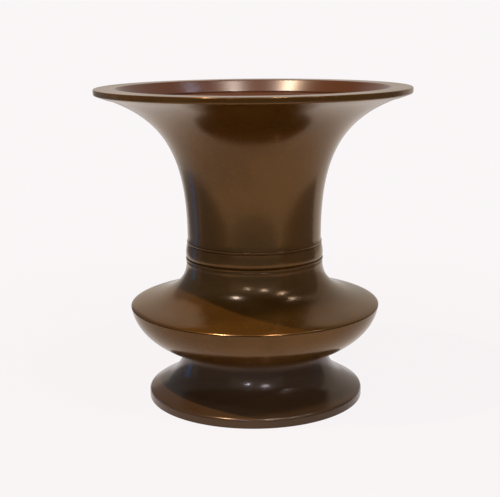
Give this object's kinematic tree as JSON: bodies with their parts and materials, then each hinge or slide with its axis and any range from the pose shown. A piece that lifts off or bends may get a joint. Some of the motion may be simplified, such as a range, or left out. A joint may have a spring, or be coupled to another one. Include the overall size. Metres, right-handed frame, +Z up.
{
  "type": "bronze gu vessel",
  "caption": "Turned bronze flower vessel of gu form: wide trumpet mouth with a flat lip, banded neck, body with a sharp belly edge, and a flared hollow foot.",
  "frame": {"origin": "centre of the ring on which the foot rests, on the vessel's axis", "axes": "+Z up along the vessel's axis, towards the mouth; the vessel is round, so +X and +Y are free, and -Y faces the picture's camera"},
  "size_m": [0.239, 0.239, 0.24],
  "materials": {
    "bronze": "dark brown patina, polished to a satin gloss",
    "solder": "dull grey soft solder"
  },
  "bodies": {
    "root": {"mouth_rim": "bronze", "trumpet_neck": "bronze", "neck_band": "bronze", "shoulder": "bronze", "lower_bowl": "bronze", "foot": "bronze", "rim_solder": "solder", "neck_solder": "solder", "belly_solder": "solder", "foot_solder": "solder"}
  },
  "joints": []
}
